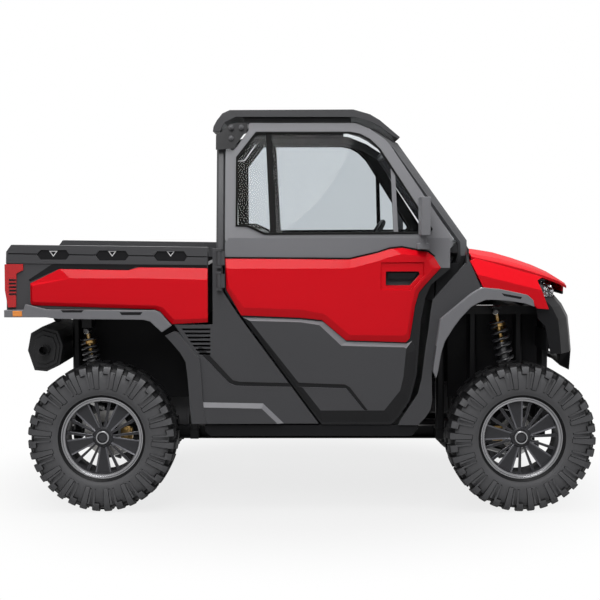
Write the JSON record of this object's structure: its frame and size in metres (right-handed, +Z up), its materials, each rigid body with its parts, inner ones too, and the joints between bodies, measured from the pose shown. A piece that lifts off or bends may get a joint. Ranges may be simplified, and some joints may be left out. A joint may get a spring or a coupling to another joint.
{
  "type": "side by side utility vehicle",
  "caption": "Enclosed-cab side by side utility vehicle with doors, tilting cargo bed, tailgate, bonnet, steering and rolling wheels.",
  "frame": {"origin": "on the ground, below the middle of the length and width", "axes": "+X forwards, +Y to the driver's left, +Z up"},
  "size_m": [3.0269, 1.876, 2.0652],
  "materials": {
    "frame_paint": "semi-gloss black powder coat",
    "cage_paint": "charcoal powder coat",
    "body_paint": "glossy red moulded-in colour",
    "grey_mould": "textured dark grey moulding",
    "black_mould": "textured black moulding",
    "roof_mould": "textured grey moulding",
    "clear_glass": "lightly tinted glass",
    "lamp_lens": "clear moulded lens",
    "tail_lens": "red lens",
    "seat_vinyl": "black seat vinyl",
    "tyre_rubber": "matt black rubber",
    "wheel_paint": "matt black paint",
    "cast_metal": "bare casting",
    "steel": "dull steel",
    "spring_paint": "black coated spring steel",
    "core": "radiator core"
  },
  "bodies": {
    "root": {"frame": "frame_paint", "rear_frame": "frame_paint", "front_frame": "frame_paint", "tow_points": "frame_paint", "splash_panels": "black_mould", "skid_plate": "black_mould", "floor_tub": "black_mould", "firewall": "black_mould", "cage": "cage_paint", "gussets": "cage_paint", "roof": "roof_mould", "cab_glass": "clear_glass", "cowl": "grey_mould", "dashboard": "black_mould", "seat_base": "seat_vinyl", "seat_backs": "seat_vinyl", "quarter_panels": "grey_mould", "rockers": "black_mould", "front_fenders": "body_paint", "front_flares": "grey_mould", "fascia": "black_mould", "headlamps": "lamp_lens", "radiator": "core", "engine": "cast_metal", "driveline": "cast_metal", "exhaust": "steel", "suspension_arms": "frame_paint", "shocks": "spring_paint", "rack_housing": "cast_metal"},
    "hood": {"hood": "body_paint"},
    "bed": {"bed_tub": "black_mould", "bed_rails": "grey_mould", "bed_skins": "body_paint", "bed_lips": "grey_mould", "tail_lamps": "tail_lens"},
    "tailgate": {"tailgate": "black_mould"},
    "door_left": {"door_left_shell": "grey_mould", "door_left_skin": "body_paint", "door_left_glass": "clear_glass", "door_left_fittings": "black_mould"},
    "door_right": {"door_right_shell": "grey_mould", "door_right_skin": "body_paint", "door_right_glass": "clear_glass", "door_right_fittings": "black_mould"},
    "knuckle_left": {"knuckle_left": "cast_metal"},
    "knuckle_right": {"knuckle_right": "cast_metal"},
    "steering_wheel": {"steering_wheel": "black_mould"},
    "rack": {"rack": "steel"},
    "wheel_front_left": {"tyre_front_left": "tyre_rubber", "rim_front_left": "wheel_paint"},
    "wheel_front_right": {"tyre_front_right": "tyre_rubber", "rim_front_right": "wheel_paint"},
    "wheel_rear_left": {"tyre_rear_left": "tyre_rubber", "rim_rear_left": "wheel_paint"},
    "wheel_rear_right": {"tyre_rear_right": "tyre_rubber", "rim_rear_right": "wheel_paint"}
  },
  "joints": [
    {"name": "hood_hinge", "type": "hinge", "parent": "root", "child": "hood", "pos_m": [0.87869, 0, 1.33567], "axis": [0, -1, 0], "range_deg": [0, 50]},
    {"name": "bed_tilt", "type": "hinge", "parent": "root", "child": "bed", "pos_m": [-1.3041, 0, 0.97102], "axis": [0, -1, 0], "range_deg": [0, 38]},
    {"name": "tailgate_hinge", "type": "hinge", "parent": "bed", "child": "tailgate", "pos_m": [-1.489, 0, 1.05779], "axis": [0, -1, 0], "range_deg": [0, 90]},
    {"name": "door_left_hinge", "type": "hinge", "parent": "root", "child": "door_left", "pos_m": [-0.41507, 0.756, 0.99168], "axis": [0, 0, 1], "range_deg": [0, 70]},
    {"name": "door_right_hinge", "type": "hinge", "parent": "root", "child": "door_right", "pos_m": [-0.41507, -0.756, 0.99168], "axis": [0, 0, -1], "range_deg": [0, 70]},
    {"name": "steer_left", "type": "hinge", "parent": "root", "child": "knuckle_left", "pos_m": [1.134, 0.585, 0.381], "axis": [0, 0, 1], "range_deg": [-32, 32]},
    {"name": "steer_right", "type": "hinge", "parent": "root", "child": "knuckle_right", "pos_m": [1.134, -0.585, 0.381], "axis": [0, 0, 1], "range_deg": [-32, 32]},
    {"name": "rack_slide", "type": "slide", "parent": "root", "child": "rack", "axis": [0, 1, 0], "range_m": [-0.0584, 0.0584]},
    {"name": "steering_wheel_turn", "type": "hinge", "parent": "root", "child": "steering_wheel", "pos_m": [0.39225, 0.37, 1.32017], "axis": [-0.8526, 0, 0.5226], "range_deg": [-360, 360]},
    {"name": "roll_front_left", "type": "hinge", "parent": "knuckle_left", "child": "wheel_front_left", "pos_m": [1.134, 0.69, 0.381], "axis": [0, 1, 0], "continuous": true},
    {"name": "roll_front_right", "type": "hinge", "parent": "knuckle_right", "child": "wheel_front_right", "pos_m": [1.134, -0.69, 0.381], "axis": [0, 1, 0], "continuous": true},
    {"name": "roll_rear_left", "type": "hinge", "parent": "root", "child": "wheel_rear_left", "pos_m": [-1.016, 0.69, 0.381], "axis": [0, 1, 0], "continuous": true},
    {"name": "roll_rear_right", "type": "hinge", "parent": "root", "child": "wheel_rear_right", "pos_m": [-1.016, -0.69, 0.381], "axis": [0, 1, 0], "continuous": true}
  ],
  "couplings": [
    {"joint": "steer_right", "follows": "steer_left", "ratio": 1},
    {"joint": "rack_slide", "follows": "steer_left", "m_per_rad": 0.1045},
    {"joint": "steering_wheel_turn", "follows": "steer_left", "ratio": 11.25}
  ]
}
